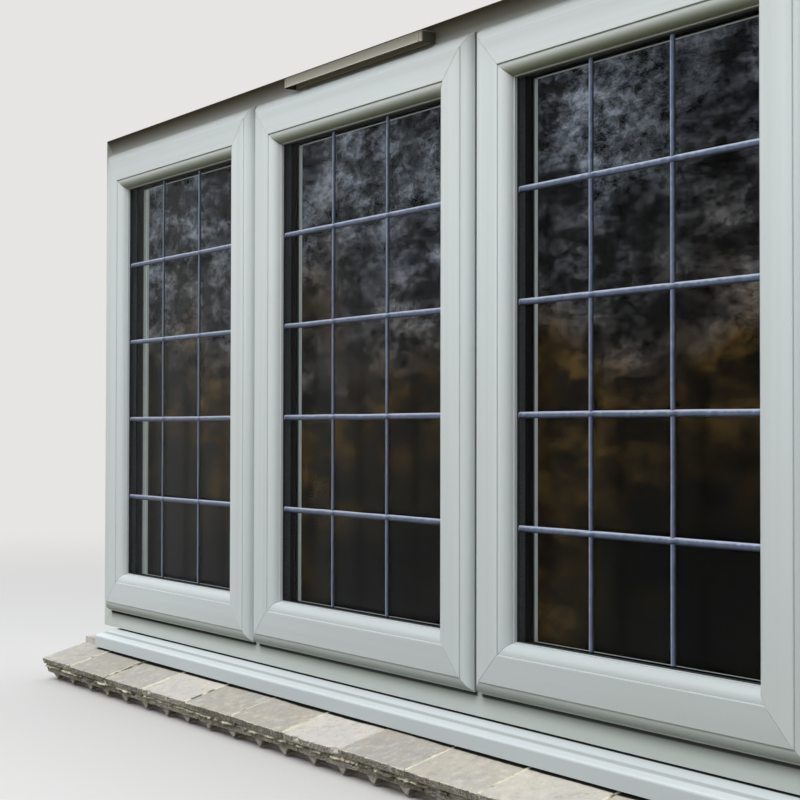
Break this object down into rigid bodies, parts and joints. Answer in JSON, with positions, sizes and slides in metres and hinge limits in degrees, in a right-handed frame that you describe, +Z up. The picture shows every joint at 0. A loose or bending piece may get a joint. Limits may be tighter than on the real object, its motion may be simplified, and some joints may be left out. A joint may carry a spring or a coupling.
{
  "type": "casement window",
  "caption": "Side-hung casement window with leaded double glazing, sculptured frames, a trickle vent hood, a projecting cill and a sloping tiled sub-sill.",
  "frame": {"origin": "on the flat underside of the mortar bed, below the middle of the window, in the plane of the sashes' outer face", "axes": "+X along the window, -Y towards the outside, +Z up"},
  "size_m": [1.965, 0.2055, 1.0895],
  "materials": {
    "frame_foil": "fine woodgrain foil, pale sage grey",
    "sash_foil": "fine woodgrain foil, pale sage grey",
    "cill": "smooth satin, pale sage grey",
    "vent": "satin moulded, pale sage grey",
    "gasket": "matt black",
    "spacer": "matt black",
    "glass": "clear float glass",
    "lead": "dull blue-grey lead",
    "handle": "white powder coat",
    "clay_tile": "weathered clay, buff grey",
    "mortar": "rough lime-grey mortar"
  },
  "bodies": {
    "root": {"cill": "cill", "cill_end_caps": "cill", "frame_bottom_rail": "frame_foil", "frame_head": "frame_foil", "frame_left_jamb": "frame_foil", "frame_right_jamb": "frame_foil", "left_glass": "glass", "left_glass_spacer": "spacer", "left_glazing_beads": "sash_foil", "left_glazing_gaskets": "gasket", "left_handle": "handle", "left_lead_lattice": "lead", "left_sash_bottom_rail": "sash_foil", "left_sash_left_stile": "sash_foil", "left_sash_right_stile": "sash_foil", "left_sash_top_rail": "sash_foil", "left_weather_seals": "gasket", "middle_glass": "glass", "middle_glass_spacer": "spacer", "middle_glazing_beads": "sash_foil", "middle_glazing_gaskets": "gasket", "middle_lead_lattice": "lead", "middle_sash_bottom_rail": "sash_foil", "middle_sash_left_stile": "sash_foil", "middle_sash_right_stile": "sash_foil", "middle_sash_top_rail": "sash_foil", "middle_weather_seals": "gasket", "mortar_bed": "mortar", "mullion_left": "frame_foil", "mullion_right": "frame_foil", "right_glass": "glass", "right_glass_spacer": "spacer", "right_glazing_beads": "sash_foil", "right_glazing_gaskets": "gasket", "right_handle": "handle", "right_lead_lattice": "lead", "right_sash_bottom_rail": "sash_foil", "right_sash_left_stile": "sash_foil", "right_sash_right_stile": "sash_foil", "right_sash_top_rail": "sash_foil", "right_weather_seals": "gasket", "tile_course_lower": "clay_tile", "tile_course_upper": "clay_tile", "vent_canopy": "vent", "vent_closer": "vent"}
  },
  "joints": []
}
